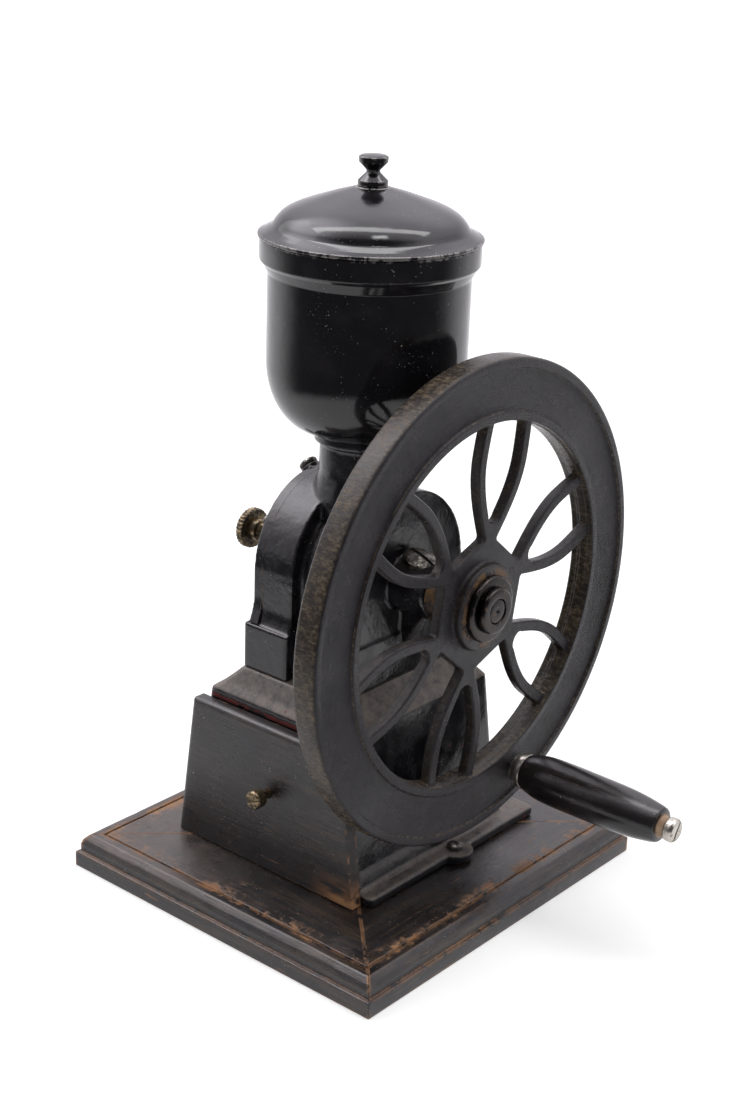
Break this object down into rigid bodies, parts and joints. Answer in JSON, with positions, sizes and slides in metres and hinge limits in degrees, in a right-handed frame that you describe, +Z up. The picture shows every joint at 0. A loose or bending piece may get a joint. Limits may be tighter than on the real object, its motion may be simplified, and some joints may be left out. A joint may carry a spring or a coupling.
{
  "type": "manual coffee grinder",
  "caption": "Antique-style cast iron coffee mill with a hand-turned flywheel, wooden crank grip, lidded hopper, ground-coffee drawer and moulded wooden base.",
  "frame": {"origin": "centre of the wooden base's flat underside", "axes": "+Z up, -Y towards the drawer front, +X towards the flywheel and crank grip"},
  "size_m": [0.2685, 0.2404, 0.368],
  "materials": {
    "black_wood": "black paint over wood, worn to the wood along edges and grooves",
    "raw_wood": "bare softwood boards",
    "black_iron": "cast iron under semi-gloss black paint with small chips",
    "wheel_iron": "cast iron, dark grey paint, rust on the rim's edge and spokes",
    "turned_iron": "bare machined iron",
    "steel": "dull steel with light rust",
    "brass": "dull worn brass",
    "black_paint": "glossy black enamel on spun sheet, chipped along the rim",
    "handle_wood": "glossy black varnish",
    "nickel": "worn nickel plate"
  },
  "bodies": {
    "stand": {"base_front_rail": "black_wood", "base_rear_rail": "black_wood", "base_left_rail": "black_wood", "base_right_rail": "black_wood", "base_panel": "black_wood", "drawer_housing": "black_iron", "housing_screw_left": "steel", "housing_screw_right": "steel", "foot_bolt_front": "steel", "foot_bolt_rear": "steel", "mill_body": "black_iron", "rear_cover": "black_iron", "cover_screw_1": "steel", "cover_screw_2": "steel", "cover_screw_3": "steel", "cover_screw_4": "steel", "top_screw": "steel", "oil_plug": "steel", "front_bush": "brass", "fixed_burr": "turned_iron", "hopper": "black_paint", "hopper_sleeve": "steel"},
    "drawer": {"drawer_front": "black_wood", "drawer_left_side": "raw_wood", "drawer_right_side": "raw_wood", "drawer_back": "raw_wood", "drawer_bottom": "raw_wood", "drawer_knob": "brass", "drawer_knob_nut": "brass"},
    "lid": {"lid": "black_paint", "lid_knob": "black_paint", "lid_nut": "steel"},
    "wheel": {"flywheel": "wheel_iron", "drive_shaft": "steel", "turning_burr": "turned_iron", "auger": "turned_iron", "hub_washer": "wheel_iron", "hub_nut": "steel", "handle_spindle": "steel", "spindle_nut": "steel"},
    "grip": {"handle_grip": "handle_wood", "handle_ferrule": "nickel"},
    "adjuster_pin": {"thrust_pin": "steel"},
    "adjuster": {"adjusting_screw": "brass"}
  },
  "joints": [
    {"name": "drawer_slide", "type": "slide", "parent": "stand", "child": "drawer", "axis": [0, -1, 0], "range_m": [0, 0.085]},
    {"name": "lid_lift", "type": "slide", "parent": "stand", "child": "lid", "axis": [0, 0, 1], "range_m": [0, 0.06]},
    {"name": "wheel_turn", "type": "hinge", "parent": "stand", "child": "wheel", "pos_m": [0, 0, 0.165], "axis": [1, 0, 0], "continuous": true},
    {"name": "grip_turn", "type": "hinge", "parent": "wheel", "child": "grip", "pos_m": [0.08, 0.03574, 0.0668], "axis": [1, 0, 0], "continuous": true},
    {"name": "adjuster_feed", "type": "slide", "parent": "stand", "child": "adjuster_pin", "axis": [-1, 0, 0], "range_m": [0, 0.002]},
    {"name": "adjuster_turn", "type": "hinge", "parent": "adjuster_pin", "child": "adjuster", "pos_m": [-0.078, 0, 0.165], "axis": [-1, 0, 0], "range_deg": [0, 720]}
  ],
  "couplings": [
    {"joint": "adjuster_turn", "follows": "adjuster_feed", "rad_per_m": 6283}
  ]
}
